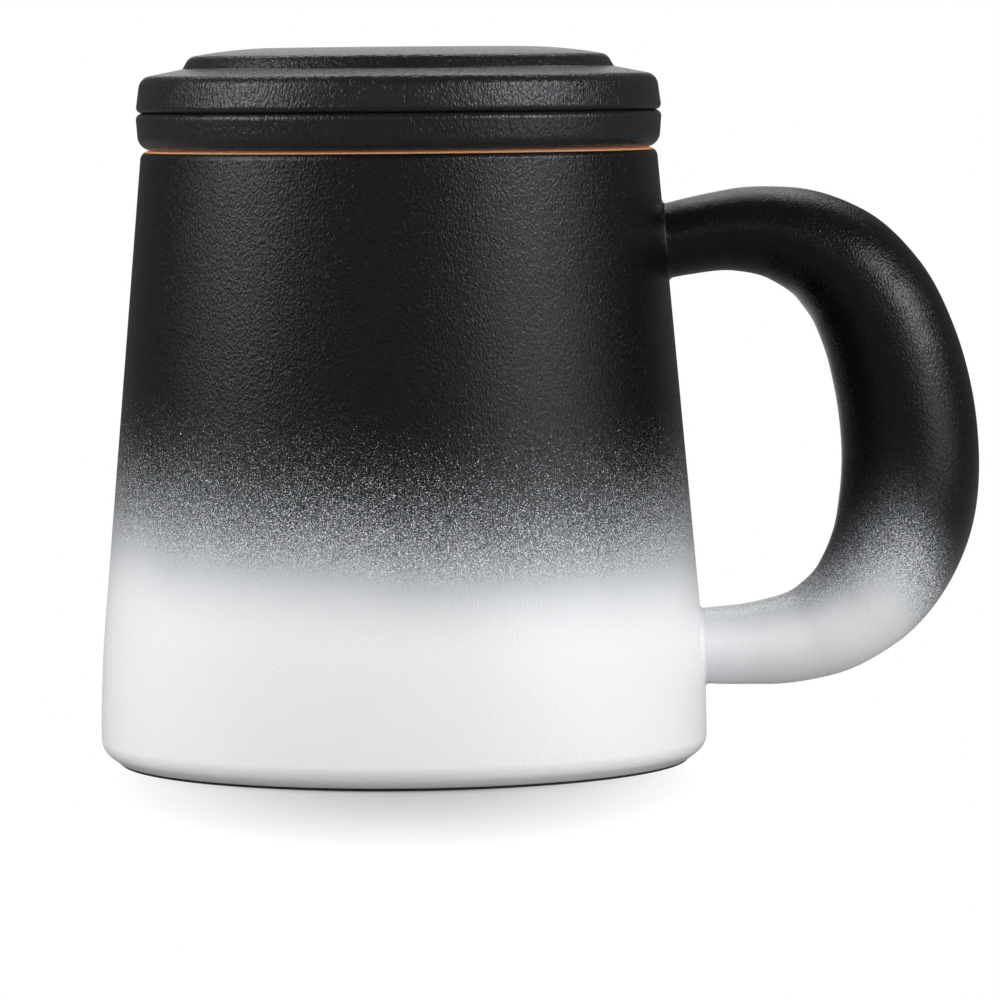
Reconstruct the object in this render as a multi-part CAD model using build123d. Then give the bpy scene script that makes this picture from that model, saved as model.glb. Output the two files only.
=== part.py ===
from build123d import *

import os

# Lidded stoneware tea mug with a ceramic infuser.
# Millimetres, +Z up, origin at the centre of the foot ring on the resting plane, handle towards +X.

# ---- Mug body ----
RIM_HEIGHT = 95.0            # top of the lip above the table
BODY_MAX_R = 47.1            # widest radius, just above the foot
RIM_OUTER_R = 39.95          # where the tapered wall would reach the rim height
TAPER_START = 13.2           # height of the corner between the upright and the tapered wall
WALL_SWELL_R = 182.0         # long soft curve that joins the upright and the tapered wall
CORNER_HEIGHT = 2.35         # where the upright wall and the slope under it would meet
CORNER_TURN_R = 2.8          # soft turn from the wall into the slope down to the foot
FOOT_OUTER_R = 44.2
FOOT_INNER_R = 39.8
FOOT_STEP = 0.45             # the foot ring shows as a thin shadow line below the glazed corner
FOOT_LEDGE = 0.4
BASE_RECESS = 1.8
RIM_INNER_R = 36.2
CAVITY_FLOOR = 7.0
CAVITY_FLOOR_R = 42.6
CAVITY_CORNER_R = 7.0
LIP_OUTER_ROUND = 1.4
LIP_INNER_ROUND = 1.1
FOOT_INNER_ROUND = 0.5
SOFT_EDGE = 0.8              # rounding of the hidden corners that only sponging softens

# ---- Handle ----
# Stations along the centre line in the XZ plane: x, z, thickness seen from the side of the mug.
HANDLE_STATIONS = [
    (37.5, 79.6, 11.6),
    (44.0, 80.9, 11.7),
    (51.5, 82.0, 12.7),
    (59.1, 81.4, 14.7),
    (66.9, 78.0, 17.3),
    (72.6, 71.9, 19.1),
    (76.5, 63.1, 20.4),
    (79.1, 48.6, 21.3),
    (77.7, 35.2, 20.8),
    (71.4, 24.3, 17.7),
    (64.2, 19.5, 14.9),
    (56.0, 17.7, 13.1),
    (48.5, 17.3, 12.0),
    (42.5, 17.2, 11.6),
]
HANDLE_DEPTH_RATIO = 1.2     # depth across the mug over the thickness
ROOT_FILLET = 0.6            # slip smoothed round the joint between handle and wall
ROOT_SINK = 0.2              # how far the fillet starts below the wall's skin

# ---- Infuser ----
COLLAR_TOP = 100.8
COLLAR_TOP_R = 40.75         # outside of the collar just under its top edge
COLLAR_LOW_R = 40.3          # outside of the collar above its rounded underside
COLLAR_TOP_ROUND = 1.0
COLLAR_LOW_ROUND = 2.3
MOUTH_R = 32.7               # opening of the basket at the collar
MOUTH_ROUND = 1.2
BASKET_TOP_R = 35.3
BASKET_LOW_R = 31.0
BASKET_BOTTOM = 37.0
BASKET_WALL = 2.6
BASKET_FLOOR = 2.8
BASKET_CORNER_R = 5.0
HOLE_R = 1.1
DRILL_LENGTH = 14.0          # long enough to pass through the sloping wall and the floor
WALL_HOLE_ROWS = 4
WALL_HOLES_PER_ROW = 20
WALL_HOLE_FIRST = 46.0       # height of the lowest row
WALL_HOLE_PITCH = 6.0
FLOOR_RING_PITCH = 6.2
FLOOR_RINGS = 3

# ---- Lid ----
LID_TOP = 110.7
LID_SIDE_LOW_R = 40.75
LID_SIDE_TOP_R = 40.0
LID_SHOULDER = 106.05        # height of the disc's top edge
LID_LOW_ROUND = 0.9
LID_EDGE_ROUND = 1.6
GRIP_FOOT_R = 33.4
GRIP_FOOT = 107.55           # the disc's top rises gently to the foot of the grip plate
GRIP_FOOT_ROUND = 0.4
GRIP_EDGE_R = 32.35
GRIP_EDGE = 109.25
GRIP_EDGE_ROUND = 1.7
GRIP_CROWN_R = 25.5          # where the plate's sloping edge and its flat top would meet
GRIP_CROWN_ROUND = 60.0
SKIRT_OUTER_R = 31.9
SKIRT_INNER_R = 28.6
SKIRT_DEPTH = 5.0
LID_RECESS = 1.6             # hollow of the underside inside the skirt


def turned(corners):
    """Revolve a closed outline, given as (radius, height, corner rounding), about the mug's axis."""
    points = [(r, 0, z) for r, z, _ in corners]
    rounding = [c for _, _, c in corners]
    outline = FilletPolyline(*points, radius=rounding, close=True)
    return revolve(make_face(outline), Axis.Z)


def body_outside():
    """Outer skin of the mug body, down to the glazed corner."""
    return [
        (FOOT_OUTER_R + FOOT_LEDGE, FOOT_STEP, 0),
        (BODY_MAX_R, CORNER_HEIGHT, CORNER_TURN_R),
        (BODY_MAX_R, TAPER_START, WALL_SWELL_R),
        (RIM_OUTER_R, RIM_HEIGHT, LIP_OUTER_ROUND),
    ]


def body_core(inset=0.0):
    """Solid block inside the body's outer skin, to seat the handle; inset makes it smaller all round."""
    *wall, (rim_r, _, lip_round) = body_outside()
    skin = [(r - inset, z + inset, rounding) for r, z, rounding in wall]
    top = RIM_HEIGHT - inset
    return turned(skin + [(rim_r - inset, top, lip_round), (0, top, 0), (0, FOOT_STEP + inset, 0)])


def mug_body():
    """Cast beaker: tapered wall, rounded lip, foot ring round a recessed base."""
    cavity = [
        (RIM_INNER_R, RIM_HEIGHT, LIP_INNER_ROUND),
        (CAVITY_FLOOR_R, CAVITY_FLOOR, CAVITY_CORNER_R),
        (0, CAVITY_FLOOR, 0),
    ]
    base = [
        (0, BASE_RECESS, 0),
        (FOOT_INNER_R, BASE_RECESS, SOFT_EDGE),
        (FOOT_INNER_R, 0, FOOT_INNER_ROUND),
        (FOOT_OUTER_R, 0, 0),
        (FOOT_OUTER_R, FOOT_STEP, 0),
    ]
    return turned(body_outside() + cavity + base)


def handle_bar():
    """Bent bar of changing oval section, running from inside one root to inside the other."""
    centre_line = Spline(*[(x, 0, z) for x, z, _ in HANDLE_STATIONS])
    sections = []
    for x, z, thickness in HANDLE_STATIONS:
        along = centre_line.tangent_at(Vector(x, 0, z))
        across = along.cross(Vector(0, 1, 0))
        station = Plane(origin=(x, 0, z), x_dir=across, z_dir=along)
        half = thickness / 2
        sections.append(station * Ellipse(half, HANDLE_DEPTH_RATIO * half))
    return loft(sections)


def mug_handle():
    """Handle cut to the wall it is luted to, with a small fillet of slip round each root."""
    joined = body_core(ROOT_SINK) + handle_bar()
    seams = [e for e in joined.edges() if on_handle_seam(e)]
    return fillet(seams, ROOT_FILLET) - body_core()


def on_handle_seam(edge):
    """True for an edge where the handle's bar meets the body's skin."""
    box = edge.bounding_box()
    by_the_wall = box.min.X > RIM_INNER_R and box.max.X < BODY_MAX_R
    return edge.geom_type == GeomType.BSPLINE and by_the_wall and box.size.Y > 1


def around(thing, count, start=0.0):
    """Copies of a thing spaced evenly about the mug's axis, the first one turned by start degrees."""
    return [Rot(0, 0, start + 360 * k / count) * thing for k in range(count)]


def floor_drills():
    """Drills for the basket's floor: one in the middle and rings of 6, 12, 18 about it."""
    drill = Pos(0, 0, BASKET_BOTTOM) * Cylinder(HOLE_R, DRILL_LENGTH)
    drills = [drill]
    for ring in range(1, FLOOR_RINGS + 1):
        drills += around(Pos(ring * FLOOR_RING_PITCH, 0, 0) * drill, 6 * ring)
    return drills


def wall_drills():
    """Drills for the basket's wall: level rows, each turned by half a hole from the row below."""
    mid_wall_r = (BASKET_TOP_R + BASKET_LOW_R) / 2
    drill = Pos(mid_wall_r, 0, 0) * Rot(0, 90, 0) * Cylinder(HOLE_R, DRILL_LENGTH)
    half_a_hole = 180 / WALL_HOLES_PER_ROW
    drills = []
    for row in range(WALL_HOLE_ROWS):
        height = WALL_HOLE_FIRST + row * WALL_HOLE_PITCH
        drills += around(Pos(0, 0, height) * drill, WALL_HOLES_PER_ROW, row % 2 * half_a_hole)
    return drills


def infuser():
    """One-piece strainer: thick collar that rests on the lip, tapered basket with holes low down."""
    outline = [
        (BASKET_LOW_R, BASKET_BOTTOM, BASKET_CORNER_R),
        (BASKET_TOP_R, RIM_HEIGHT, 0),
        (COLLAR_LOW_R, RIM_HEIGHT, COLLAR_LOW_ROUND),
        (COLLAR_TOP_R, COLLAR_TOP, COLLAR_TOP_ROUND),
        (MOUTH_R, COLLAR_TOP, MOUTH_ROUND),
        (BASKET_LOW_R - BASKET_WALL, BASKET_BOTTOM + BASKET_FLOOR, BASKET_CORNER_R - BASKET_WALL),
        (0, BASKET_BOTTOM + BASKET_FLOOR, 0),
        (0, BASKET_BOTTOM, 0),
    ]
    return turned(outline) - floor_drills() - wall_drills()


def lid():
    """Lid disc with a domed grip plate on top and a locating skirt underneath."""
    outline = [
        (SKIRT_INNER_R, COLLAR_TOP - SKIRT_DEPTH, SOFT_EDGE),
        (SKIRT_OUTER_R, COLLAR_TOP - SKIRT_DEPTH, SOFT_EDGE),
        (SKIRT_OUTER_R, COLLAR_TOP, 0),
        (LID_SIDE_LOW_R, COLLAR_TOP, LID_LOW_ROUND),
        (LID_SIDE_TOP_R, LID_SHOULDER, LID_EDGE_ROUND),
        (GRIP_FOOT_R, GRIP_FOOT, GRIP_FOOT_ROUND),
        (GRIP_EDGE_R, GRIP_EDGE, GRIP_EDGE_ROUND),
        (GRIP_CROWN_R, LID_TOP, GRIP_CROWN_ROUND),
        (0, LID_TOP, 0),
        (0, COLLAR_TOP + LID_RECESS, 0),
        (SKIRT_INNER_R, COLLAR_TOP + LID_RECESS, SOFT_EDGE),
    ]
    return turned(outline)


def save(node, shape):
    """Write one node's STEP file."""
    os.makedirs("parts", exist_ok=True)
    export_step(shape, f"parts/{node}.step")


save("mug_body", mug_body())
save("mug_handle", mug_handle())
save("infuser", infuser())
save("lid", lid())
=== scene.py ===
import math

import bpy
from mathutils import Matrix, Vector


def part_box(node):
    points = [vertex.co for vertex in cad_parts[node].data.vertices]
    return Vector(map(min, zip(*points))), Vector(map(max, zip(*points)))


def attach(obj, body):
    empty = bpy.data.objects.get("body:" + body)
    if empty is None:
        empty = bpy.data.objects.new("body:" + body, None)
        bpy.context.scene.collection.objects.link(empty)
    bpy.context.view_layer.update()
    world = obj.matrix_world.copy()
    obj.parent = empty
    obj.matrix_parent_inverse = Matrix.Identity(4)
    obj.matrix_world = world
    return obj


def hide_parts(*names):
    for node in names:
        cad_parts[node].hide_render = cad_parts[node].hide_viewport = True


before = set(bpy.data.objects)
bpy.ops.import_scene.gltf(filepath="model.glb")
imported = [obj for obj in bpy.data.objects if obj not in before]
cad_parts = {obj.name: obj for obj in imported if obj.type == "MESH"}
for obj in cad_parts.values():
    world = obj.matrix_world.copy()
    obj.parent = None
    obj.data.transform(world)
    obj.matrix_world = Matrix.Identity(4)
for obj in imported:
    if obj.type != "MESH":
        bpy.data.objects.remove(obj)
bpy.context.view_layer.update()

bl_info = {
    "name": "Lidded tea mug",
    "version": (1, 0, 0),
    "blender": (4, 5, 0),
    "location": "View3D > Sidebar > Tea mug",
    "description": "Stoneware tea mug with a ceramic infuser, glazed and set up in a small studio",
    "category": "Object",
}

# The pieces are lathed and swept round the frame's own axis: Z is the mug's axis, the table is at
# Z = 0 and the handle points along +X. Lengths are metres, and MM writes them in millimetres.
MM = 0.001
_, BODY_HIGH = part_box("mug_body")
INFUSER_LOW, INFUSER_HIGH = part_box("infuser")
LID_LOW, LID_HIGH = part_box("lid")

RIM_HEIGHT = BODY_HIGH.z
BODY_WIDEST = BODY_HIGH.y
COLLAR_TOP = INFUSER_HIGH.z
BASKET_BOTTOM = INFUSER_LOW.z
LID_TOP = LID_HIGH.z
SKIRT_BOTTOM = LID_LOW.z

TURNS = 256                  # steps round a lathed piece
HOLE_TURNS = 20              # steps round a strainer hole
ROUND_STEPS = 8              # steps round each softened corner
SECTION_STEPS = 18           # steps round a quarter of the handle's section
STATION_STEPS = 48           # steps along the handle from one station to the next
WELD = 0.002 * MM            # points closer together than this are merged
CREASE = math.radians(40)    # turn past which an edge stays crisp

PEEL_SIZE = 0.42 * MM        # width of one bead of the orange peel on the lid and the infuser
PEEL_DEPTH = 0.13 * MM       # deeper than the real peel, so that it still shows at this scale
BODY_PEEL_SIZE = 0.27 * MM   # the sprayed body has a finer and shallower peel
BODY_PEEL_DEPTH = 0.09 * MM
PEEL_RUN = (1.0, 1.0, 0.5)   # the wet glaze ran a little, which draws the peel out downwards
GRIT_SIZE = 0.22 * MM        # sand in the clay that stands through the glaze
GRIT_SHARE = 0.4             # height of that sand over the height of the peel
WHITE_PEEL = 0.45            # peel left on the bare white glaze, which flowed out smooth
PEEL_COATS = 1.6             # coats that are thick enough to dry as full orange peel
COAT_BUILD = 2.7             # how fast the black thickens with height
DRIFT_SIZE = 18 * MM         # width of the slow unevenness of the spray's edge
DRIFT = 2.5 * MM             # height of that unevenness
DROPLET = 0.19 * MM          # a droplet of spray, drawn no finer than it can show
# Coats at which the droplets begin to stand apart, coats at which they do so most, and how unevenly they
# then cover.
BODY_DROPLETS = (0.72, 2.15, 28.0)
HANDLE_DROPLETS = (0.55, 1.1, 9.3)
ROOT_END = 50 * MM           # reach from the mug's axis at which the handle's roots end
ROOT_FADE = 10 * MM          # further reach over which the spray begins to slant round the handle

BLACK_ROUGHNESS = 0.25
LIP_ROUGHNESS = 0.9
BODY_SHEEN = 0.32            # specular level: a matt glaze mirrors far less than a glossy one
LID_SHEEN = 0.36
BLUE_SHEEN = (0.93, 0.965, 1.0)    # the black glaze's faint blue cast
MOTTLE_SIZE = 1.5 * MM       # faint clouding of the black glaze
LIP_BLUR = 0.04 * MM         # softness of the wiped edge between glaze and bare lip
SAND_SIZE = 0.4 * MM         # grains in the bare clay, drawn as coarse as they need to show
SAND_DEPTH = 0.05 * MM
WAVE_SIZE = 5 * MM           # slow waves that the liner sets in
WAVE_DEPTH = 0.05 * MM
CLOUD_SIZE = 9 * MM          # faint clouding of the liner


def linear(hex_colour):
    """Scene-linear red, green and blue of an sRGB hex colour."""
    channels = [int(hex_colour[i:i + 2], 16) / 255 for i in (1, 3, 5)]
    return tuple(c / 12.92 if c <= 0.04045 else ((c + 0.055) / 1.055) ** 2.4 for c in channels)


def length(name, description, default):
    """A size in metres that the user can change."""
    return bpy.props.FloatProperty(
        name=name, description=description, default=default, unit="LENGTH", precision=5)


def share(name, description, default):
    """A plain number from nought to one."""
    return bpy.props.FloatProperty(name=name, description=description, default=default, min=0, max=1)


def colour(name, description, hex_colour):
    """A colour that the user can change."""
    return bpy.props.FloatVectorProperty(
        name=name, description=description, default=linear(hex_colour), subtype="COLOR", size=3,
        min=0, max=1)


# ---- Sizes and colours ----

class MUG_PG_body(bpy.types.PropertyGroup):
    """Sizes of the cast beaker."""
    rim_outer: length("Rim radius", "Where the tapered wall would reach the rim height", 39.95 * MM)
    rim_inner: length("Rim bore", "Inner radius at the lip", 36.2 * MM)
    taper_start: length("Taper start", "Height at which the wall begins to lean in", 13.2 * MM)
    wall_swell: length("Wall swell", "Radius of the long curve that joins upright and taper", 182 * MM)
    corner_height: length("Corner height", "Where the wall and the slope under it would meet", 2.35 * MM)
    corner_turn: length("Corner turn", "Radius of the soft turn from the wall into the slope", 2.8 * MM)
    foot_outer: length("Foot radius", "Outer radius of the foot ring", 44.2 * MM)
    foot_inner: length("Foot bore", "Inner radius of the foot ring", 39.8 * MM)
    foot_step: length("Foot step", "Height of the bare foot ring below the glazed corner", 0.45 * MM)
    foot_ledge: length("Foot ledge", "How far the glazed corner stands out past the foot ring", 0.4 * MM)
    base_recess: length("Base recess", "Depth of the hollow inside the foot ring", 1.8 * MM)
    floor_height: length("Inner floor", "Height of the floor inside the mug", 7 * MM)
    floor_radius: length("Inner floor radius", "Inner radius at the floor", 42.6 * MM)


class MUG_PG_handle(bpy.types.PropertyGroup):
    """Sizes of the handle."""
    depth_ratio: bpy.props.FloatProperty(
        name="Depth ratio", description="Depth across the mug over thickness from the side", default=1.2)
    root_fillet: length("Root fillet", "Slip smoothed round the joint between handle and wall", 0.6 * MM)
    root_reach: length("Root reach", "How far out from the axis the smoothed joint may lie", ROOT_END)


class MUG_PG_infuser(bpy.types.PropertyGroup):
    """Sizes of the strainer cup."""
    collar_top: length("Collar upper radius", "Outside of the collar just under its top edge", 40.75 * MM)
    collar_low: length("Collar lower radius", "Outside of the collar above its underside", 40.3 * MM)
    mouth: length("Mouth radius", "Opening of the basket at the collar", 32.7 * MM)
    basket_top: length("Basket top radius", "Outside of the basket just under the collar", 35.3 * MM)
    basket_low: length("Basket lower radius", "Outside of the basket at its floor", 31 * MM)
    wall: length("Basket wall", "Thickness of the basket wall", 2.6 * MM)
    floor: length("Basket floor", "Thickness of the basket floor", 2.8 * MM)
    hole: length("Hole radius", "Radius of a strainer hole", 1.1 * MM)
    hole_soft: length("Hole edge", "Rounding that the glaze leaves on a hole's edge", 0.45 * MM)
    first_row: length("First row", "Height of the lowest row of holes", 46 * MM)
    row_pitch: length("Row pitch", "Distance between the rows of holes", 6 * MM)
    rows: bpy.props.IntProperty(name="Rows", description="Rows of holes in the wall", default=4, min=1)
    row_holes: bpy.props.IntProperty(
        name="Holes per row", description="Holes in each row", default=20, min=3)
    ring_pitch: length("Ring pitch", "Distance between the rings of floor holes", 6.2 * MM)
    rings: bpy.props.IntProperty(name="Rings", description="Rings of holes in the floor", default=3, min=1)


class MUG_PG_lid(bpy.types.PropertyGroup):
    """Sizes of the lid."""
    side_low: length("Side lower radius", "Outside of the disc at its lower edge", 40.75 * MM)
    side_top: length("Side top radius", "Outside of the disc at its top edge", 40.0 * MM)
    shoulder: length("Shoulder", "Height of the disc's top edge", 106.25 * MM)
    grip_foot: length("Grip foot radius", "Where the grip plate rises from the disc", 33.4 * MM)
    grip_foot_height: length("Grip foot height", "Height of the disc at the grip plate", 107.55 * MM)
    grip_edge: length("Grip edge radius", "Radius of the grip plate's top edge", 32.35 * MM)
    grip_edge_height: length("Grip edge height", "Height of the grip plate's top edge", 109.4 * MM)
    grip_flat: length("Grip flat radius", "Where the domed edge of the grip plate turns flat", 25.5 * MM)
    skirt_outer: length("Skirt radius", "Outside of the locating skirt", 31.9 * MM)
    skirt_inner: length("Skirt bore", "Inside of the locating skirt", 28.6 * MM)
    recess: length("Recess", "Hollow of the underside inside the skirt", 1.6 * MM)


class MUG_PG_glaze(bpy.types.PropertyGroup):
    """Colours of the glazes and the clay, and where the spray fades."""
    black: colour("Black spray", "Matt black glaze sprayed over the body and the handle", "#09090A")
    lid_black: colour("Black glaze", "Matt black glaze of the lid and the infuser", "#19191B")
    white: colour("White glaze", "Matt white glaze under the spray", "#EAEBED")
    misted: colour("Misted white", "What shows of the white between fine black droplets", "#E1E7ED")
    liner: colour("Liner glaze", "Glossy glaze inside the mug", "#ECEBE6")
    clay: colour("Bare clay", "Fired clay where no glaze covers it", "#D6A276")
    # The foot colour is painted shade: a dark tone for the shadow in the gap between the foot ring and the
    # floor.
    foot: colour("Foot wash", "Dark slip round the side of the foot ring", "#2A2A2C")
    spray_start: length("Spray start", "Height below which no black spray lands", 18.5 * MM)
    spray_depth: length("Spray depth", "Rise over which the spray thickens by one coat", 16.2 * MM)
    spray_lean: share("Spray lean", "Rise of the fade away from the handle, per unit of length", 0.085)
    spray_handle: length("Spray on handle", "How much lower the handle catches the spray", 2.5 * MM)
    # On the outer edge this lift is spray; on the inner edge it is painted shade from the wall.
    spray_and_shade_on_edges: length("Spray on edges", "How much lower still the handle's edges catch it", 12 * MM)
    spray_outside: length("Spray outside", "How much lower than that its outer edge does so", 6 * MM)
    spray_top: length("Spray on top", "How much lower the handle's upper side catches it", 5 * MM)
    lip_bare: length("Bare lip", "Height of the unglazed band below the lip", 0.3 * MM)


class MUG_PG_stage(bpy.types.PropertyGroup):
    """Camera, lamps and floor."""
    camera_back: length("Camera distance", "Distance of the camera in front of the mug's axis", 955 * MM)
    camera_height: length("Camera height", "Height of the camera above the table", 105.5 * MM)
    aim_side: length("Aim sideways", "Where the camera points, towards the handle", 15.2 * MM)
    aim_height: length("Aim height", "Where the camera points, above the table", 40.3 * MM)
    lens: bpy.props.FloatProperty(name="Lens", description="Focal length on a 36 mm sensor", default=221.5)
    tilt: bpy.props.FloatProperty(
        name="Tilt", description="Turn of the camera about its view", default=-0.0083, subtype="ANGLE")
    floor: colour("Floor", "Matt paper under the mug", "#B4B4B4")
    shadow_full: length("Shadow", "Reach to which the floor shows the mug's whole shadow", 28 * MM)
    shadow_end: length("Shadow end", "Reach at which the floor has faded into the backdrop", 92 * MM)


# ---- Modelling helpers ----

def deselect():
    """Leave nothing selected, in object mode."""
    if bpy.context.object and bpy.context.object.mode != "OBJECT":
        bpy.ops.object.mode_set(mode="OBJECT")
    bpy.ops.object.select_all(action="DESELECT")


def name_piece(name):
    """Name the active object and its mesh."""
    piece = bpy.context.object
    piece.name = name
    piece.data.name = name
    return piece


def select_near(piece, place):
    """Select the one vertex of the piece in edit mode that lies at a place."""
    bpy.ops.mesh.select_all(action="DESELECT")
    bpy.ops.object.mode_set(mode="OBJECT")
    nearest = min(piece.data.vertices, key=lambda v: (v.co - place).length)
    nearest.select = True
    bpy.ops.object.mode_set(mode="EDIT")


def rounding_reach(before, corner, after):
    """How far along its edges a corner of the outline is cut back for its rounding radius."""
    arriving = Vector((corner[0] - before[0], corner[1] - before[1]))
    leaving = Vector((after[0] - corner[0], after[1] - corner[1]))
    return corner[2] * math.tan(arriving.angle(leaving) / 2)


def draw_outline(name, corners):
    """Fill an outline of (radius, height, rounding) corners in the XZ plane, with its corners rounded."""
    deselect()
    first = corners[0]
    bpy.ops.mesh.primitive_plane_add(size=MM, location=(first[0], 0, first[1]))
    bpy.ops.object.transform_apply()
    piece = name_piece(name)
    bpy.ops.object.mode_set(mode="EDIT")
    bpy.ops.mesh.merge(type="CENTER")
    for start, end in zip(corners, corners[1:]):
        step = (end[0] - start[0], 0, end[1] - start[1])
        bpy.ops.mesh.extrude_region_move(TRANSFORM_OT_translate={"value": step})
    bpy.ops.mesh.select_all(action="SELECT")
    bpy.ops.mesh.edge_face_add()
    bpy.ops.mesh.select_mode(type="VERT")
    for i, corner in enumerate(corners):
        if corner[2]:
            reach = rounding_reach(corners[i - 1], corner, corners[(i + 1) % len(corners)])
            select_near(piece, Vector((corner[0], 0, corner[1])))
            bpy.ops.mesh.bevel(affect="VERTICES", offset=reach, segments=ROUND_STEPS, profile=0.5)
    return piece


def lathe(name, corners, turns=TURNS):
    """Turn an outline of (radius, height, rounding) corners about the mug's axis into a closed piece."""
    piece = draw_outline(name, corners)
    bpy.ops.mesh.select_all(action="SELECT")
    bpy.ops.mesh.delete(type="ONLY_FACE")
    bpy.ops.mesh.select_all(action="DESELECT")
    bpy.ops.object.mode_set(mode="OBJECT")
    on_axis = {v.index for v in piece.data.vertices if abs(v.co.x) < WELD}
    for edge in piece.data.edges:
        edge.select = set(edge.vertices) <= on_axis
    bpy.ops.object.mode_set(mode="EDIT")
    bpy.ops.mesh.select_mode(type="EDGE")
    bpy.ops.mesh.delete(type="EDGE")
    bpy.ops.mesh.select_mode(type="VERT")
    bpy.ops.mesh.select_all(action="SELECT")
    bpy.ops.mesh.spin(steps=turns, angle=2 * math.pi, center=(0, 0, 0), axis=(0, 0, 1))
    bpy.ops.mesh.select_all(action="SELECT")
    bpy.ops.mesh.remove_doubles(threshold=WELD)
    bpy.ops.mesh.normals_make_consistent(inside=False)
    bpy.ops.object.mode_set(mode="OBJECT")
    return piece


def smooth(piece):
    """Shade the piece smooth, with its true edges kept crisp."""
    deselect()
    piece.select_set(True)
    bpy.context.view_layer.objects.active = piece
    bpy.ops.object.shade_smooth_by_angle(angle=CREASE)
    bpy.ops.object.modifier_add(type="WEIGHTED_NORMAL")
    flat = piece.modifiers[-1]
    flat.weight = 100
    flat.keep_sharp = True
    bpy.ops.object.modifier_apply(modifier=flat.name)


def cut_away(piece, tool):
    """Take the tool's shape out of the piece and remove the tool."""
    deselect()
    piece.select_set(True)
    bpy.context.view_layer.objects.active = piece
    cut = piece.modifiers.new("cut", "BOOLEAN")
    cut.operation = "DIFFERENCE"
    cut.solver = "MANIFOLD"
    cut.object = tool
    bpy.ops.object.modifier_apply(modifier=cut.name)
    bpy.data.objects.remove(tool)


# ---- Materials ----

def add(tree, kind, sockets=None, **settings):
    """Add one node: settings are its properties; sockets its inputs, each a value or a node's output."""
    made = tree.nodes.new(kind)
    for key, value in settings.items():
        setattr(made, key, value)
    for key, value in (sockets or {}).items():
        if isinstance(value, bpy.types.NodeSocket):
            tree.links.new(value, made.inputs[key])
        else:
            made.inputs[key].default_value = value
    return made


def empty_material(name):
    """A material with nothing in its tree yet but the place of each point of the surface."""
    material = bpy.data.materials.new(name)
    material.use_nodes = True
    tree = material.node_tree
    tree.nodes.clear()
    return material, tree, add(tree, "ShaderNodeTexCoord").outputs["Object"]


def toned(tint, strength=1.0):
    """A colour made darker or lighter, with the alpha that a node's colour has."""
    return (*[min(1, channel * strength) for channel in tint], 1)


def relief(tree, place, size, depth):
    """The fine worm-like orange peel of a matt glaze sprayed over gritty clay, as a bump."""
    drawn = add(tree, "ShaderNodeVectorMath", {0: place, 1: PEEL_RUN}, operation="MULTIPLY").outputs[0]
    peel = add(tree, "ShaderNodeTexNoise", {
        "Vector": drawn, "Scale": 1 / size, "Detail": 1.0, "Roughness": 0.4,
        "Distortion": 0.6}).outputs["Fac"]
    grit = add(tree, "ShaderNodeTexNoise", {
        "Vector": drawn, "Scale": 1 / GRIT_SIZE, "Detail": 0.0}).outputs["Fac"]
    height = add(tree, "ShaderNodeMath", {0: grit, 1: GRIT_SHARE, 2: peel},
                 operation="MULTIPLY_ADD").outputs[0]
    bump = add(tree, "ShaderNodeBump", {"Strength": 1.0, "Distance": depth, "Height": height})
    return bump.outputs["Normal"]


def handle_spray_and_shade(tree, place, look):
    """How much lower the handle's black reaches than the body's: spray that it caught, and painted shade.

    Its outer edge does so most, then its inner edge and its upper side, and its underside the least. The
    inner edge's part is painted shade, the shadow that the wall beside it casts there.
    """
    reach = add(tree, "ShaderNodeSeparateXYZ", {0: place}).outputs["X"]
    off_wall = add(tree, "ShaderNodeMapRange", {
        "Value": reach, "From Min": ROOT_END, "From Max": ROOT_END + ROOT_FADE}).outputs[0]
    facing = add(tree, "ShaderNodeTexCoord").outputs["Normal"]
    axes = add(tree, "ShaderNodeSeparateXYZ", {0: facing}).outputs
    sideways = add(tree, "ShaderNodeMath", {0: axes["X"], 1: off_wall}, operation="MULTIPLY").outputs[0]
    outward = add(tree, "ShaderNodeMath", {0: sideways, 1: look.spray_and_shade_on_edges, 2: look.spray_outside},
                  operation="MULTIPLY_ADD").outputs[0]
    # Squared, this darkens both edges: spray on the outer one, painted shade on the inner one.
    edge_spray_and_shade = add(tree, "ShaderNodeMath", {0: sideways, 1: outward}, operation="MULTIPLY").outputs[0]
    uneven = add(tree, "ShaderNodeMath", {0: axes["Z"], 1: look.spray_top, 2: edge_spray_and_shade},
                 operation="MULTIPLY_ADD").outputs[0]
    return add(tree, "ShaderNodeMath", {0: uneven, 1: look.spray_handle}, operation="ADD").outputs[0]


def spray_coats(tree, place, look, lower):
    """Coats of black spray that landed at a place: none near the foot, and more with height.

    Less landed on the side away from the handle.
    """
    axes = add(tree, "ShaderNodeSeparateXYZ", {0: place}).outputs
    away = add(tree, "ShaderNodeMath", {0: axes["X"], 1: 0.0}, operation="MINIMUM").outputs[0]
    leaning = add(tree, "ShaderNodeMath", {0: away, 1: look.spray_lean, 2: axes["Z"]},
                  operation="MULTIPLY_ADD").outputs[0]
    lifted = add(tree, "ShaderNodeMath", {0: leaning, 1: lower}, operation="ADD").outputs[0]
    drift = add(tree, "ShaderNodeTexNoise", {
        "Vector": place, "Scale": 1 / DRIFT_SIZE, "Detail": 1.0}).outputs["Fac"]
    uneven = add(tree, "ShaderNodeMath", {0: drift, 1: DRIFT, 2: lifted},
                 operation="MULTIPLY_ADD").outputs[0]
    above = add(tree, "ShaderNodeMath", {0: uneven, 1: look.spray_start + DRIFT / 2},
                operation="SUBTRACT").outputs[0]
    coats = add(tree, "ShaderNodeMath", {0: above, 1: look.spray_depth}, operation="DIVIDE").outputs[0]
    return add(tree, "ShaderNodeMath", {0: coats, 1: 0.0}, operation="MAXIMUM").outputs[0]


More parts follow.
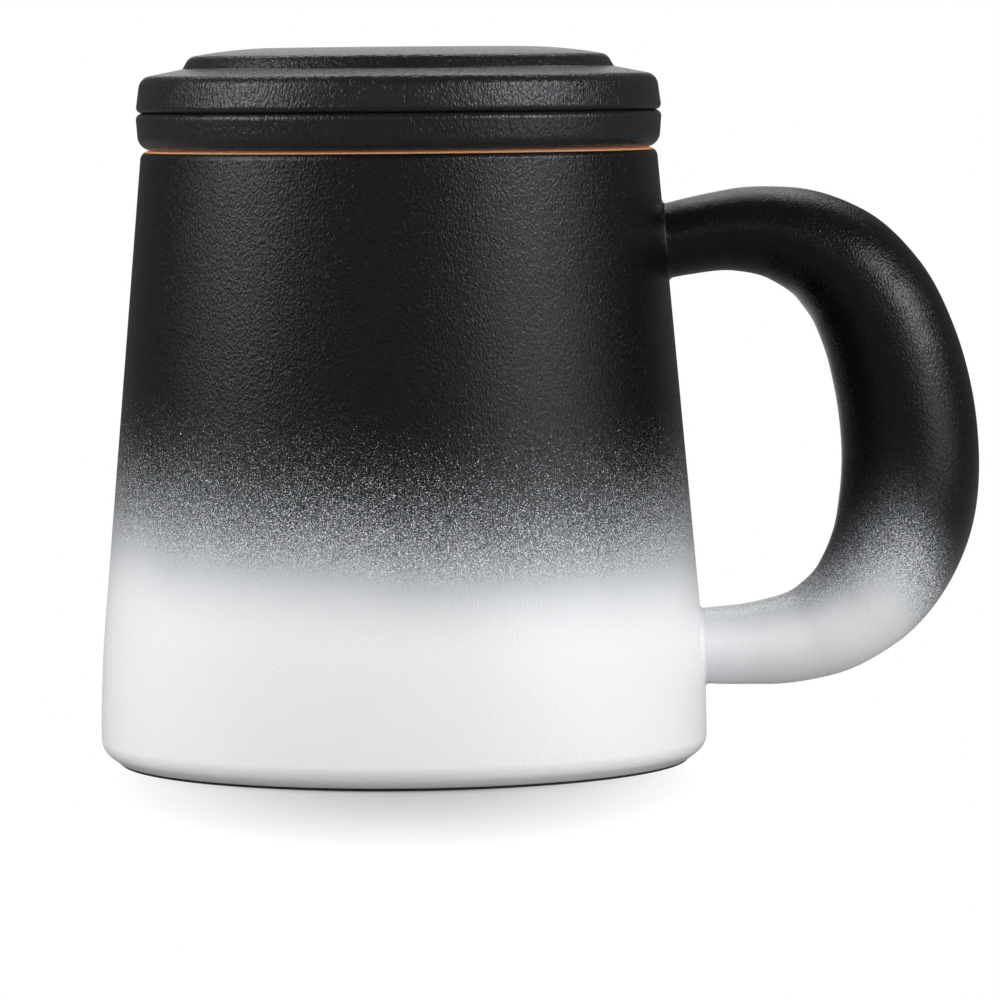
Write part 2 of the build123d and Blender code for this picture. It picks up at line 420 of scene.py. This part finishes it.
def seen_through(tree, place, coats, droplets):
    """Share of the white that still shows between the droplets of the black coats."""
    first, most, contrast = droplets
    thick = add(tree, "ShaderNodeMath", {0: coats, 1: COAT_BUILD}, operation="POWER").outputs[0]
    dots = add(tree, "ShaderNodeTexNoise", {
        "Vector": place, "Scale": 1 / DROPLET, "Detail": 1.5, "Roughness": 0.6}).outputs["Fac"]
    centred = add(tree, "ShaderNodeMath", {0: dots, 1: 0.5}, operation="SUBTRACT").outputs[0]
    patchy = add(tree, "ShaderNodeMapRange", {
        "Value": coats, "From Min": first, "From Max": most, "To Max": contrast}).outputs[0]
    coat = add(tree, "ShaderNodeMath", {0: centred, 1: patchy, 2: thick},
               operation="MULTIPLY_ADD").outputs[0]
    minus = add(tree, "ShaderNodeMath", {0: coat, 1: -1.0}, operation="MULTIPLY").outputs[0]
    return add(tree, "ShaderNodeMath", {0: minus}, operation="EXPONENT", use_clamp=True).outputs[0]


def sandy_clay(tree, place, look):
    """Sand in the bare clay: its height, and the sandy orange that it gives the clay."""
    sand = add(tree, "ShaderNodeTexNoise", {
        "Vector": place, "Scale": 1 / SAND_SIZE, "Detail": 2.0, "Roughness": 0.7}).outputs["Fac"]
    tone = add(tree, "ShaderNodeMix", {
        "Factor": sand, "A": toned(look.clay, 0.7), "B": toned(look.clay, 1.25)}, data_type="RGBA")
    return sand, tone.outputs["Result"]


def faded_glaze(look, name, on_handle):
    """Matt white glaze with black sprayed over it from above.

    The black lies thick at the top and thins to nothing near the foot, and its droplets show where it is
    thin, with a faint blue cast. The white flowed out smooth, and the black dried as orange peel. The lip
    was wiped down to the clay.
    """
    material, tree, place = empty_material(name)
    lower = handle_spray_and_shade(tree, place, look) if on_handle else 0.0
    coats = spray_coats(tree, place, look, lower)
    bare = seen_through(tree, place, coats, HANDLE_DROPLETS if on_handle else BODY_DROPLETS)
    under = add(tree, "ShaderNodeMix", {
        "Factor": bare, "A": toned(look.misted), "B": toned(look.white)},
        data_type="RGBA").outputs["Result"]
    glaze = add(tree, "ShaderNodeMix", {
        "Factor": bare, "A": toned(look.black), "B": under}, data_type="RGBA").outputs["Result"]
    height = add(tree, "ShaderNodeSeparateXYZ", {0: place}).outputs["Z"]
    lip_edge = add(tree, "ShaderNodeMapRange", {
        "Value": height, "From Min": RIM_HEIGHT - look.lip_bare - LIP_BLUR,
        "From Max": RIM_HEIGHT - look.lip_bare + LIP_BLUR}).outputs[0]
    _, clay = sandy_clay(tree, place, look)
    skin = add(tree, "ShaderNodeMix", {
        "Factor": lip_edge, "A": glaze, "B": clay}, data_type="RGBA").outputs["Result"]
    dull = add(tree, "ShaderNodeMapRange", {
        "Value": lip_edge, "To Min": BLACK_ROUGHNESS, "To Max": LIP_ROUGHNESS}).outputs[0]
    peel = add(tree, "ShaderNodeMapRange", {
        "Value": coats, "From Max": PEEL_COATS, "To Min": WHITE_PEEL * BODY_PEEL_DEPTH,
        "To Max": BODY_PEEL_DEPTH}).outputs[0]
    shader = add(tree, "ShaderNodeBsdfPrincipled", {
        "Base Color": skin, "Roughness": dull, "IOR": 1.5, "Specular IOR Level": BODY_SHEEN,
        "Specular Tint": toned(BLUE_SHEEN), "Normal": relief(tree, place, BODY_PEEL_SIZE, peel)})
    add(tree, "ShaderNodeOutputMaterial", {"Surface": shader.outputs[0]})
    return material


def black_glaze(look):
    """Matt black glaze: almost no colour of its own, a broad soft sheen broken up by fine orange peel."""
    material, tree, place = empty_material("matt_black_glaze")
    mottle = add(tree, "ShaderNodeTexNoise", {
        "Vector": place, "Scale": 1 / MOTTLE_SIZE, "Detail": 2.0}).outputs["Fac"]
    tone = add(tree, "ShaderNodeMix", {
        "Factor": mottle, "A": toned(look.lid_black, 0.75), "B": toned(look.lid_black, 1.3)},
        data_type="RGBA").outputs["Result"]
    shader = add(tree, "ShaderNodeBsdfPrincipled", {
        "Base Color": tone, "Roughness": BLACK_ROUGHNESS, "IOR": 1.5, "Specular IOR Level": LID_SHEEN,
        "Specular Tint": toned(BLUE_SHEEN), "Normal": relief(tree, place, PEEL_SIZE, PEEL_DEPTH)})
    add(tree, "ShaderNodeOutputMaterial", {"Surface": shader.outputs[0]})
    return material


def liner_glaze(look):
    """Glossy food-safe glaze inside the mug: wet-looking, with the slow waves that it sets in."""
    material, tree, place = empty_material("gloss_liner_glaze")
    waves = add(tree, "ShaderNodeTexNoise", {
        "Vector": place, "Scale": 1 / WAVE_SIZE, "Detail": 1.0}).outputs["Fac"]
    bump = add(tree, "ShaderNodeBump", {
        "Strength": 1.0, "Distance": WAVE_DEPTH, "Height": waves}).outputs["Normal"]
    cloud = add(tree, "ShaderNodeTexNoise", {
        "Vector": place, "Scale": 1 / CLOUD_SIZE, "Detail": 2.0}).outputs["Fac"]
    tone = add(tree, "ShaderNodeMix", {
        "Factor": cloud, "A": toned(look.liner, 0.93), "B": toned(look.liner)},
        data_type="RGBA").outputs["Result"]
    shader = add(tree, "ShaderNodeBsdfPrincipled", {
        "Base Color": tone, "Roughness": 0.12, "IOR": 1.52, "Normal": bump})
    add(tree, "ShaderNodeOutputMaterial", {"Surface": shader.outputs[0]})
    return material


def bare_clay(look):
    """Fired clay with no glaze: orange, dry and sandy."""
    material, tree, place = empty_material("bare_fired_clay")
    sand, tone = sandy_clay(tree, place, look)
    bump = add(tree, "ShaderNodeBump", {
        "Strength": 1.0, "Distance": SAND_DEPTH, "Height": sand}).outputs["Normal"]
    shader = add(tree, "ShaderNodeBsdfPrincipled", {
        "Base Color": tone, "Roughness": 0.88, "IOR": 1.5, "Normal": bump})
    add(tree, "ShaderNodeOutputMaterial", {"Surface": shader.outputs[0]})
    return material


def painted_foot_shade(look):
    """Painted shade round the foot ring's side: a dark, dull colour that stands in for the shadow in the
    gap under the glazed corner, lighter in sandy spots.
    """
    material, tree, place = empty_material("painted_shade_on_foot")
    sand = add(tree, "ShaderNodeTexNoise", {
        "Vector": place, "Scale": 1 / SAND_SIZE, "Detail": 2.0}).outputs["Fac"]
    tone = add(tree, "ShaderNodeMix", {
        "Factor": sand, "A": toned(look.foot, 0.7), "B": toned(look.foot, 1.4)},
        data_type="RGBA").outputs["Result"]
    shader = add(tree, "ShaderNodeBsdfPrincipled", {"Base Color": tone, "Roughness": 0.8, "IOR": 1.5})
    add(tree, "ShaderNodeOutputMaterial", {"Surface": shader.outputs[0]})
    return material


def finish_with(piece, *materials):
    """Give the piece its finishes; faces keep the first until told otherwise."""
    piece.data.materials.clear()
    for material in materials:
        piece.data.materials.append(material)


# ---- Pieces ----

LIP_OUTER_ROUND = 1.4 * MM
LIP_INNER_ROUND = 1.1 * MM
FLOOR_ROUND = 7 * MM         # corner between the wall and the floor inside
SOFT_EDGE = 0.8 * MM         # rounding of the hidden corners that only sponging softens
FOOT_INNER_ROUND = 0.5 * MM
FOOT_OUTER_ROUND = 0.15 * MM
LINER_TOP = 0.9 * MM         # how far below the lip the liner stops
# The fourth finish is painted shade round the foot ring's side.
GLAZE, LINER, CLAY, FOOT_SHADE = range(4)    # the body's finishes, in the order that it holds them
BARE = 1                     # the second finish of the infuser and of the lid
SLACK = 0.1 * MM             # room left where faces are told apart by where their middle is
FACES_UP = 0.8               # rise of a face's normal above which the face is a floor
FACES_DOWN = -0.9            # rise of it below which the piece stands on that face in the kiln


def body_outline(size):
    """Closed outline of the beaker: outside wall, cavity, base recess and foot ring."""
    return [
        (size.foot_outer + size.foot_ledge, size.foot_step, 0),
        (BODY_WIDEST, size.corner_height, size.corner_turn),
        (BODY_WIDEST, size.taper_start, size.wall_swell),
        (size.rim_outer, RIM_HEIGHT, LIP_OUTER_ROUND),
        (size.rim_inner, RIM_HEIGHT, LIP_INNER_ROUND),
        (size.floor_radius, size.floor_height, FLOOR_ROUND),
        (0, size.floor_height, 0),
        (0, size.base_recess, 0),
        (size.foot_inner, size.base_recess, SOFT_EDGE),
        (size.foot_inner, 0, FOOT_INNER_ROUND),
        (size.foot_outer, 0, FOOT_OUTER_ROUND),
        (size.foot_outer, size.foot_step, 0),
    ]


def body_finish(face, size):
    """Which finish a face of the beaker has: liner inside, painted shade on the foot's side, bare clay
    below.
    """
    reach = face.center.xy.length
    height = face.center.z
    in_cavity = height > size.base_recess + SLACK and reach < size.floor_radius + SLACK
    leans_in = face.normal.xy.dot(face.center.xy) < 0 or face.normal.z > FACES_UP
    if in_cavity and leans_in and height < RIM_HEIGHT - LINER_TOP:
        return LINER
    below = height < size.foot_step - SLACK or reach < size.foot_outer - SLACK
    if below and height < size.base_recess + SLACK:
        # The foot ring's side gets the painted shade of the gap's shadow; its underside stays bare clay.
        return FOOT_SHADE if reach > size.foot_outer - SLACK else CLAY
    return GLAZE


class MUG_OT_body(bpy.types.Operator):
    """Lathe the mug's body and glaze it"""
    bl_idname = "tea_mug.body"
    bl_label = "Mug body"

    def execute(self, context):
        size = context.scene.tea_mug_body
        look = context.scene.tea_mug_glaze
        piece = lathe("beaker", body_outline(size))
        smooth(piece)
        finish_with(piece, faded_glaze(look, "faded_spray_glaze", False), liner_glaze(look),
                    bare_clay(look), painted_foot_shade(look))
        for face in piece.data.polygons:
            face.material_index = body_finish(face, size)
        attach(piece, "mug")
        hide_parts("mug_body")
        return {"FINISHED"}


# Stations along the handle's centre line, in millimetres: x, z and thickness seen from the mug's side.
HANDLE_STATIONS = [
    (37.5, 79.6, 11.6),
    (44.0, 80.9, 11.7),
    (51.5, 82.0, 12.7),
    (59.1, 81.4, 14.7),
    (66.9, 78.0, 17.3),
    (72.6, 71.9, 19.1),
    (76.5, 63.1, 20.4),
    (79.06, 48.6, 21.3),
    (77.7, 35.2, 20.8),
    (71.4, 24.3, 17.7),
    (64.2, 19.5, 14.9),
    (56.0, 17.7, 13.1),
    (48.5, 17.3, 12.0),
    (42.5, 17.2, 11.6),
]
BENDING_PASSES = 60          # passes in which the centre line's tangents settle


def smooth_tangents(places):
    """Tangents, per unit of chord, of the curve that a springy lath takes through the places.

    Returns the chords between the places as well.
    """
    chords = [(b - a).length for a, b in zip(places, places[1:])]
    slopes = [(b - a) / c for a, b, c in zip(places, places[1:], chords)]
    tangents = [slopes[0], *slopes]
    for _ in range(BENDING_PASSES):
        tangents[0] = (3 * slopes[0] - tangents[1]) / 2
        tangents[-1] = (3 * slopes[-1] - tangents[-2]) / 2
        for i in range(1, len(places) - 1):
            back, on = chords[i - 1], chords[i]
            pull = 3 * (slopes[i] * back + slopes[i - 1] * on)
            tangents[i] = (pull - on * tangents[i - 1] - back * tangents[i + 1]) / (2 * (back + on))
    return tangents, chords


def draw_handle_bar(size):
    """Bent bar of changing oval section, as a curve through the stations with the section as its bevel.

    The section is one unit thick, and each station's radius scales it to the thickness there.
    """
    deselect()
    bpy.ops.curve.primitive_bezier_circle_add(radius=0.5)
    section = bpy.context.object
    section.scale = (size.depth_ratio, 1, 1)
    bpy.ops.object.transform_apply()
    section.data.resolution_u = SECTION_STEPS
    deselect()
    bpy.ops.curve.primitive_bezier_curve_add()
    bar = name_piece("handle")
    spline = bar.data.splines[0]
    spline.bezier_points.add(len(HANDLE_STATIONS) - len(spline.bezier_points))
    places = [Vector((x, 0, z)) * MM for x, z, _ in HANDLE_STATIONS]
    tangents, chords = smooth_tangents(places)
    for i, point in enumerate(spline.bezier_points):
        point.handle_left_type = "FREE"
        point.handle_right_type = "FREE"
        point.co = places[i]
        point.handle_left = places[i] - tangents[i] * chords[max(i - 1, 0)] / 3
        point.handle_right = places[i] + tangents[i] * chords[min(i, len(chords) - 1)] / 3
        point.radius = HANDLE_STATIONS[i][2] * MM
    spline.radius_interpolation = "CARDINAL"
    bar.data.dimensions = "3D"
    bar.data.twist_mode = "MINIMUM"
    bar.data.resolution_u = STATION_STEPS
    bar.data.bevel_mode = "OBJECT"
    bar.data.bevel_object = section
    bar.data.use_fill_caps = True
    bar.select_set(True)
    bpy.ops.object.convert(target="MESH")
    bpy.data.objects.remove(section)
    return bpy.context.object


def flare_roots(bar, wall, size):
    """Swell the bar in a quarter round where it nears the wall, as slip smoothed into the joint does."""
    deselect()
    bar.select_set(True)
    bpy.context.view_layer.objects.active = bar
    bpy.ops.object.mode_set(mode="EDIT")
    bpy.ops.mesh.select_all(action="SELECT")
    bpy.ops.mesh.remove_doubles(threshold=WELD)
    bpy.ops.mesh.normals_make_consistent(inside=False)
    bpy.ops.object.mode_set(mode="OBJECT")
    fillet = size.root_fillet
    pushes = []
    for vertex in bar.data.vertices:
        if vertex.co.x < size.root_reach:
            start = Vector((2 * size.root_reach, vertex.co.y, vertex.co.z))
            hit, place, _, _ = wall.ray_cast(start, Vector((-1, 0, 0)))
            gap = vertex.co.x - place.x
            if hit and gap < fillet:
                out = Vector((0, vertex.normal.y, vertex.normal.z)).normalized()
                sink = fillet - max(gap, 0)
                pushes.append((vertex, out * (fillet - math.sqrt(fillet ** 2 - sink ** 2))))
    for vertex, push in pushes:
        vertex.co += push


class MUG_OT_handle(bpy.types.Operator):
    """Sweep the handle, smooth its roots into the wall and glaze it"""
    bl_idname = "tea_mug.handle"
    bl_label = "Handle"

    def execute(self, context):
        size = context.scene.tea_mug_handle
        body_size = context.scene.tea_mug_body
        body = bpy.data.objects["beaker"]
        bar = draw_handle_bar(size)
        flare_roots(bar, body, size)
        outside = body_outline(body_size)[:3]
        core = lathe("core", outside + [(body_size.rim_outer, RIM_HEIGHT, 0), (0, RIM_HEIGHT, 0),
                                        (0, body_size.foot_step, 0)])
        cut_away(bar, core)
        smooth(bar)
        look = context.scene.tea_mug_glaze
        finish_with(bar, faded_glaze(look, "faded_spray_glaze_on_handle", True))
        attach(bar, "mug")
        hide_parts("mug_handle")
        return {"FINISHED"}


BASKET_ROUND = 5 * MM        # corner between the basket's wall and its floor, outside
BASKET_INNER_ROUND = 2.4 * MM
COLLAR_LOW_ROUND = 2.3 * MM
COLLAR_TOP_ROUND = 1.0 * MM
MOUTH_ROUND = 1.2 * MM


def infuser_outline(size):
    """Closed outline of the strainer cup: basket, collar and mouth."""
    return [
        (size.basket_low, BASKET_BOTTOM, BASKET_ROUND),
        (size.basket_top, RIM_HEIGHT, 0),
        (size.collar_low, RIM_HEIGHT, COLLAR_LOW_ROUND),
        (size.collar_top, COLLAR_TOP, COLLAR_TOP_ROUND),
        (size.mouth, COLLAR_TOP, MOUTH_ROUND),
        (size.basket_low - size.wall, BASKET_BOTTOM + size.floor, BASKET_INNER_ROUND),
        (0, BASKET_BOTTOM + size.floor, 0),
        (0, BASKET_BOTTOM, 0),
    ]


def drill(size, low, high):
    """A strainer hole's own shape, standing on the axis: straight, widening at low and at high."""
    wide = size.hole + size.hole_soft
    return lathe("drill", [
        (0, low - MM, 0),
        (wide, low - MM, 0),
        (wide, low, 0),
        (size.hole, low, size.hole_soft),
        (size.hole, high, size.hole_soft),
        (wide, high, 0),
        (wide, high + MM, 0),
        (0, high + MM, 0),
    ], turns=HOLE_TURNS)


def repeat_round(tool, count, place, lean, start=0.0):
    """Move the tool off the axis, lean it about Y and copy it evenly round the mug's axis."""
    tool.location = place
    tool.rotation_euler = (0, lean, 0)
    bpy.ops.object.transform_apply()
    tool.rotation_euler = (0, 0, start)
    bpy.ops.object.transform_apply()
    bpy.ops.object.mode_set(mode="EDIT")
    bpy.ops.mesh.select_all(action="SELECT")
    bpy.ops.mesh.spin(steps=count - 1, dupli=True, angle=2 * math.pi * (count - 1) / count,
                      center=(0, 0, 0), axis=(0, 0, 1))
    bpy.ops.object.mode_set(mode="OBJECT")
    return tool


def drill_set(size):
    """Every strainer hole in one object.

    The floor has one in its middle and rings of 6, 12 and 18 round it; the wall has staggered rows.
    """
    tools = [drill(size, BASKET_BOTTOM, BASKET_BOTTOM + size.floor)]
    for ring in range(1, size.rings + 1):
        tool = drill(size, BASKET_BOTTOM, BASKET_BOTTOM + size.floor)
        tools.append(repeat_round(tool, 6 * ring, (ring * size.ring_pitch, 0, 0), 0))
    lean_out = (size.basket_top - size.basket_low) / (RIM_HEIGHT - BASKET_BOTTOM)
    for row in range(size.rows):
        height = size.first_row + row * size.row_pitch
        outside = size.basket_low + lean_out * (height - BASKET_BOTTOM)
        tool = drill(size, outside - size.wall, outside)
        half_a_hole = row % 2 * math.pi / size.row_holes
        tools.append(repeat_round(tool, size.row_holes, (0, 0, height), math.pi / 2, half_a_hole))
    deselect()
    for tool in tools:
        tool.select_set(True)
    bpy.ops.object.join()
    return bpy.context.object


class MUG_OT_infuser(bpy.types.Operator):
    """Lathe the infuser and pierce its strainer holes"""
    bl_idname = "tea_mug.infuser"
    bl_label = "Infuser"

    def execute(self, context):
        size = context.scene.tea_mug_infuser
        look = context.scene.tea_mug_glaze
        piece = lathe("strainer_cup", infuser_outline(size))
        cut_away(piece, drill_set(size))
        smooth(piece)
        finish_with(piece, black_glaze(look), bare_clay(look))
        for face in piece.data.polygons:
            if face.normal.z < FACES_DOWN and face.center.z > RIM_HEIGHT - SLACK:
                face.material_index = BARE
        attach(piece, "infuser")
        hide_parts("infuser")
        return {"FINISHED"}


SIDE_LOW_ROUND = 0.9 * MM
SHOULDER_ROUND = 2.0 * MM
GRIP_FOOT_ROUND = 0.4 * MM
GRIP_EDGE_ROUND = 1.7 * MM
GRIP_FLAT_ROUND = 60 * MM    # long soft turn from the grip plate's domed edge into its flat top


def lid_outline(size):
    """Closed outline of the lid: skirt, disc, grip plate and hollow underside."""
    return [
        (size.skirt_inner, SKIRT_BOTTOM, SOFT_EDGE),
        (size.skirt_outer, SKIRT_BOTTOM, SOFT_EDGE),
        (size.skirt_outer, COLLAR_TOP, 0),
        (size.side_low, COLLAR_TOP, SIDE_LOW_ROUND),
        (size.side_top, size.shoulder, SHOULDER_ROUND),
        (size.grip_foot, size.grip_foot_height, GRIP_FOOT_ROUND),
        (size.grip_edge, size.grip_edge_height, GRIP_EDGE_ROUND),
        (size.grip_flat, LID_TOP, GRIP_FLAT_ROUND),
        (0, LID_TOP, 0),
        (0, COLLAR_TOP + size.recess, 0),
        (size.skirt_inner, COLLAR_TOP + size.recess, SOFT_EDGE),
    ]


class MUG_OT_lid(bpy.types.Operator):
    """Lathe the lid and glaze it"""
    bl_idname = "tea_mug.lid"
    bl_label = "Lid"

    def execute(self, context):
        look = context.scene.tea_mug_glaze
        piece = lathe("cover", lid_outline(context.scene.tea_mug_lid))
        smooth(piece)
        finish_with(piece, black_glaze(look), bare_clay(look))
        for face in piece.data.polygons:
            if face.normal.z < FACES_DOWN and face.center.z < SKIRT_BOTTOM + SLACK:
                face.material_index = BARE
        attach(piece, "lid")
        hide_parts("lid")
        return {"FINISHED"}


# ---- Stage ----

AMBIENT = 0.5                # grey light from all round, where 1 is white
FLAGGED_AMBIENT = 0.11       # what is left of it in the glaze's sheen
SWEEP_SLIMNESS = 7.0         # distance of the sweep behind the mug over half its width between the flags
SWEEP_EDGE = 0.3             # softness of its sides
SWEEP_WHITE = 0.88           # how white the sweep is in the glaze's sheen
SWEEP_TOP = 0.55             # sine of the rise at which the sweep begins to end
SWEEP_END = 0.15             # how much further up it has ended
FLAGGED_FLOOR = 0.45         # share of the lit floor that the glaze's sheen sees past the flags
SHADOW_LIFT = 0.05           # how far the eye sees the floor lightened even in the mug's shadow
SHADOW_CENTRE = (0, -20 * MM, 0)
SHADOW_SQUEEZE = (2.1, 1.0, 1.0)    # the shadow shows in front of the mug and hardly beside it
WHITE = (1, 1, 1, 1)
FLOOR_REACH = 6.0            # metres, past all that the camera sees

# Softboxes: name, turn round the mug from the camera and rise, in degrees, distance, width and height,
# in metres, and watts.
SOFTBOXES = [
    ("left", -70, 24, 0.6, 0.3, 0.2, 0.97),
    ("left_level", -76, 14, 0.6, 0.45, 0.2, 0.39),
    ("left_high", -76, 38, 0.6, 0.45, 0.2, 0.97),
    ("right", 52, 26, 0.6, 0.3, 0.2, 0.93),
    ("right_side", 66, 26, 0.6, 0.3, 0.2, 0.97),
    ("right_level", 58, 0, 0.6, 0.45, 0.2, 0.59),
    ("front_broad", 0, 16, 1.2, 2.4, 0.5, 1.26),
    ("back_high", 180, 52, 0.6, 0.5, 0.2, 1.04),
]


def hang_softbox(name, turn, rise, distance, width, height, power):
    """One area lamp aimed at the middle of the mug, and out of the picture from any side."""
    lamp = bpy.data.lights.new(name, "AREA")
    lamp.shape = "RECTANGLE"
    lamp.size = width
    lamp.size_y = height
    lamp.energy = power
    holder = bpy.data.objects.new(name, lamp)
    bpy.context.scene.collection.objects.link(holder)
    around, up = math.radians(turn), math.radians(rise)
    out = Vector((math.sin(around) * math.cos(up), -math.cos(around) * math.cos(up), math.sin(up)))
    middle = Vector((0, 0, RIM_HEIGHT / 2))
    holder.location = middle + out * distance
    holder.rotation_euler = out.to_track_quat("Z", "Y").to_euler()
    holder.visible_camera = False


def set_camera(stage):
    """Camera a little above the lip, looking slightly down."""
    camera = bpy.data.cameras.new("studio_camera")
    camera.lens = stage.lens
    camera.sensor_width = 36
    camera.clip_start = 0.01
    holder = bpy.data.objects.new("studio_camera", camera)
    bpy.context.scene.collection.objects.link(holder)
    holder.location = (0, -stage.camera_back, stage.camera_height)
    aim = Vector((stage.aim_side, 0, stage.aim_height))
    look = (aim - holder.location).to_track_quat("-Z", "Y").to_matrix()
    holder.rotation_euler = (look @ Matrix.Rotation(stage.tilt, 3, "Z")).to_euler()
    bpy.context.scene.camera = holder


def between_flags(tree, direction):
    """How white a direction from the mug is: nought but on the sweep behind it, between the black flags."""
    axes = add(tree, "ShaderNodeSeparateXYZ", {0: direction}).outputs
    aside = add(tree, "ShaderNodeMath", {0: axes["X"]}, operation="ABSOLUTE").outputs[0]
    inward = add(tree, "ShaderNodeMath", {0: aside, 1: -SWEEP_SLIMNESS, 2: axes["Y"]},
                 operation="MULTIPLY_ADD").outputs[0]
    strip = add(tree, "ShaderNodeMapRange", {
        "Value": inward, "From Max": SWEEP_EDGE, "To Max": SWEEP_WHITE}).outputs[0]
    below_top = add(tree, "ShaderNodeMapRange", {
        "Value": axes["Z"], "From Min": SWEEP_TOP + SWEEP_END, "From Max": SWEEP_TOP}).outputs[0]
    return add(tree, "ShaderNodeMath", {0: strip, 1: below_top}, operation="MULTIPLY").outputs[0]


def shows_white(tree, direction):
    """How much of the white sweep a ray sees, from nought to one.

    The eye sees all of it, also through what is clear, and the mug's sheen what the flags leave of it.
    """
    path = add(tree, "ShaderNodeLightPath").outputs
    mirrored = add(tree, "ShaderNodeMath", {0: between_flags(tree, direction), 1: path["Is Glossy Ray"]},
                   operation="MULTIPLY").outputs[0]
    seen = add(tree, "ShaderNodeMath", {0: path["Is Camera Ray"], 1: path["Is Transmission Ray"]},
               operation="MAXIMUM").outputs[0]
    return add(tree, "ShaderNodeMath", {0: seen, 1: mirrored}, operation="MAXIMUM").outputs[0]


def set_world():
    """Studio round the mug: white to the eye, and otherwise dim grey but for the sweep behind the mug."""
    world = bpy.data.worlds.new("studio_world")
    bpy.context.scene.world = world
    world.use_nodes = True
    tree = world.node_tree
    tree.nodes.clear()
    direction = add(tree, "ShaderNodeTexCoord").outputs["Generated"]
    glossy = add(tree, "ShaderNodeLightPath").outputs["Is Glossy Ray"]
    dim = add(tree, "ShaderNodeMapRange", {
        "Value": glossy, "To Min": AMBIENT, "To Max": FLAGGED_AMBIENT}).outputs[0]
    ambient = add(tree, "ShaderNodeBackground", {"Color": WHITE, "Strength": dim})
    white = add(tree, "ShaderNodeBackground", {"Color": WHITE, "Strength": 1.0})
    mixed = add(tree, "ShaderNodeMixShader", {
        0: shows_white(tree, direction), 1: ambient.outputs[0], 2: white.outputs[0]})
    add(tree, "ShaderNodeOutputWorld", {"Surface": mixed.outputs[0]})


def paper_sweep(stage):
    """Matt paper sweep under the mug: the eye sees it pale, and white away from the mug's shadow."""
    material, tree, place = empty_material("paper_sweep")
    from_shadow = add(tree, "ShaderNodeVectorMath", {0: place, 1: SHADOW_CENTRE}, operation="SUBTRACT")
    squeezed = add(tree, "ShaderNodeVectorMath", {0: from_shadow.outputs[0], 1: SHADOW_SQUEEZE},
                   operation="MULTIPLY").outputs[0]
    reach = add(tree, "ShaderNodeVectorMath", {0: squeezed}, operation="LENGTH").outputs["Value"]
    fade = add(tree, "ShaderNodeMapRange", {
        "Value": reach, "From Min": stage.shadow_full, "From Max": stage.shadow_end,
        "To Min": SHADOW_LIFT}).outputs[0]
    direction = add(tree, "ShaderNodeVectorMath", {0: place}, operation="NORMALIZE").outputs[0]
    faded = add(tree, "ShaderNodeMath", {0: fade, 1: shows_white(tree, direction)}, operation="MULTIPLY")
    glossy = add(tree, "ShaderNodeLightPath").outputs["Is Glossy Ray"]
    unflagged = add(tree, "ShaderNodeMapRange", {
        "Value": glossy, "To Min": 1.0, "To Max": FLAGGED_FLOOR}).outputs[0]
    paper = add(tree, "ShaderNodeVectorMath", {0: tuple(stage.floor), "Scale": unflagged},
                operation="SCALE").outputs[0]
    matt = add(tree, "ShaderNodeBsdfDiffuse", {"Color": paper})
    white = add(tree, "ShaderNodeEmission", {"Color": WHITE, "Strength": 1.0})
    mixed = add(tree, "ShaderNodeMixShader", {
        0: faded.outputs[0], 1: matt.outputs[0], 2: white.outputs[0]})
    add(tree, "ShaderNodeOutputMaterial", {"Surface": mixed.outputs[0]})
    return material


def lay_floor(stage):
    """Large pale floor at the table's height."""
    deselect()
    bpy.ops.mesh.primitive_circle_add(vertices=96, radius=FLOOR_REACH, fill_type="NGON")
    floor = name_piece("floor")
    floor.data.materials.append(paper_sweep(stage))


class MUG_OT_stage(bpy.types.Operator):
    """Lay the floor, hang the softboxes and set the camera"""
    bl_idname = "tea_mug.stage"
    bl_label = "Studio"

    def execute(self, context):
        stage = context.scene.tea_mug_stage
        lay_floor(stage)
        set_world()
        for softbox in SOFTBOXES:
            hang_softbox(*softbox)
        set_camera(stage)
        context.scene.view_settings.view_transform = "Standard"
        return {"FINISHED"}


class MUG_PT_panel(bpy.types.Panel):
    """Buttons and sizes for the mug"""
    bl_idname = "MUG_PT_panel"
    bl_label = "Tea mug"
    bl_space_type = "VIEW_3D"
    bl_region_type = "UI"
    bl_category = "Tea mug"

    def draw(self, context):
        for operator, _ in PIECES:
            self.layout.operator(operator.bl_idname)
        for settings, group in SETTINGS.items():
            box = self.layout.box()
            box.label(text=group.__doc__)
            for key in group.__annotations__:
                box.prop(getattr(context.scene, settings), key)


SETTINGS = {
    "tea_mug_body": MUG_PG_body,
    "tea_mug_handle": MUG_PG_handle,
    "tea_mug_infuser": MUG_PG_infuser,
    "tea_mug_lid": MUG_PG_lid,
    "tea_mug_glaze": MUG_PG_glaze,
    "tea_mug_stage": MUG_PG_stage,
}
PIECES = [
    (MUG_OT_stage, "stage"),
    (MUG_OT_body, "body"),
    (MUG_OT_handle, "handle"),
    (MUG_OT_infuser, "infuser"),
    (MUG_OT_lid, "lid"),
]


def register():
    """Add the mug's settings, operators and panel to Blender."""
    for name, group in SETTINGS.items():
        bpy.utils.register_class(group)
        setattr(bpy.types.Scene, name, bpy.props.PointerProperty(type=group))
    for operator, _ in PIECES:
        bpy.utils.register_class(operator)
    bpy.utils.register_class(MUG_PT_panel)


def unregister():
    """Take them away again."""
    bpy.utils.unregister_class(MUG_PT_panel)
    for operator, _ in reversed(PIECES):
        bpy.utils.unregister_class(operator)
    for name, group in reversed(SETTINGS.items()):
        delattr(bpy.types.Scene, name)
        bpy.utils.unregister_class(group)


def main():
    """Make every piece."""
    register()
    for _, name in PIECES:
        getattr(bpy.ops.tea_mug, name)()


if __name__ == "__main__":
    main()
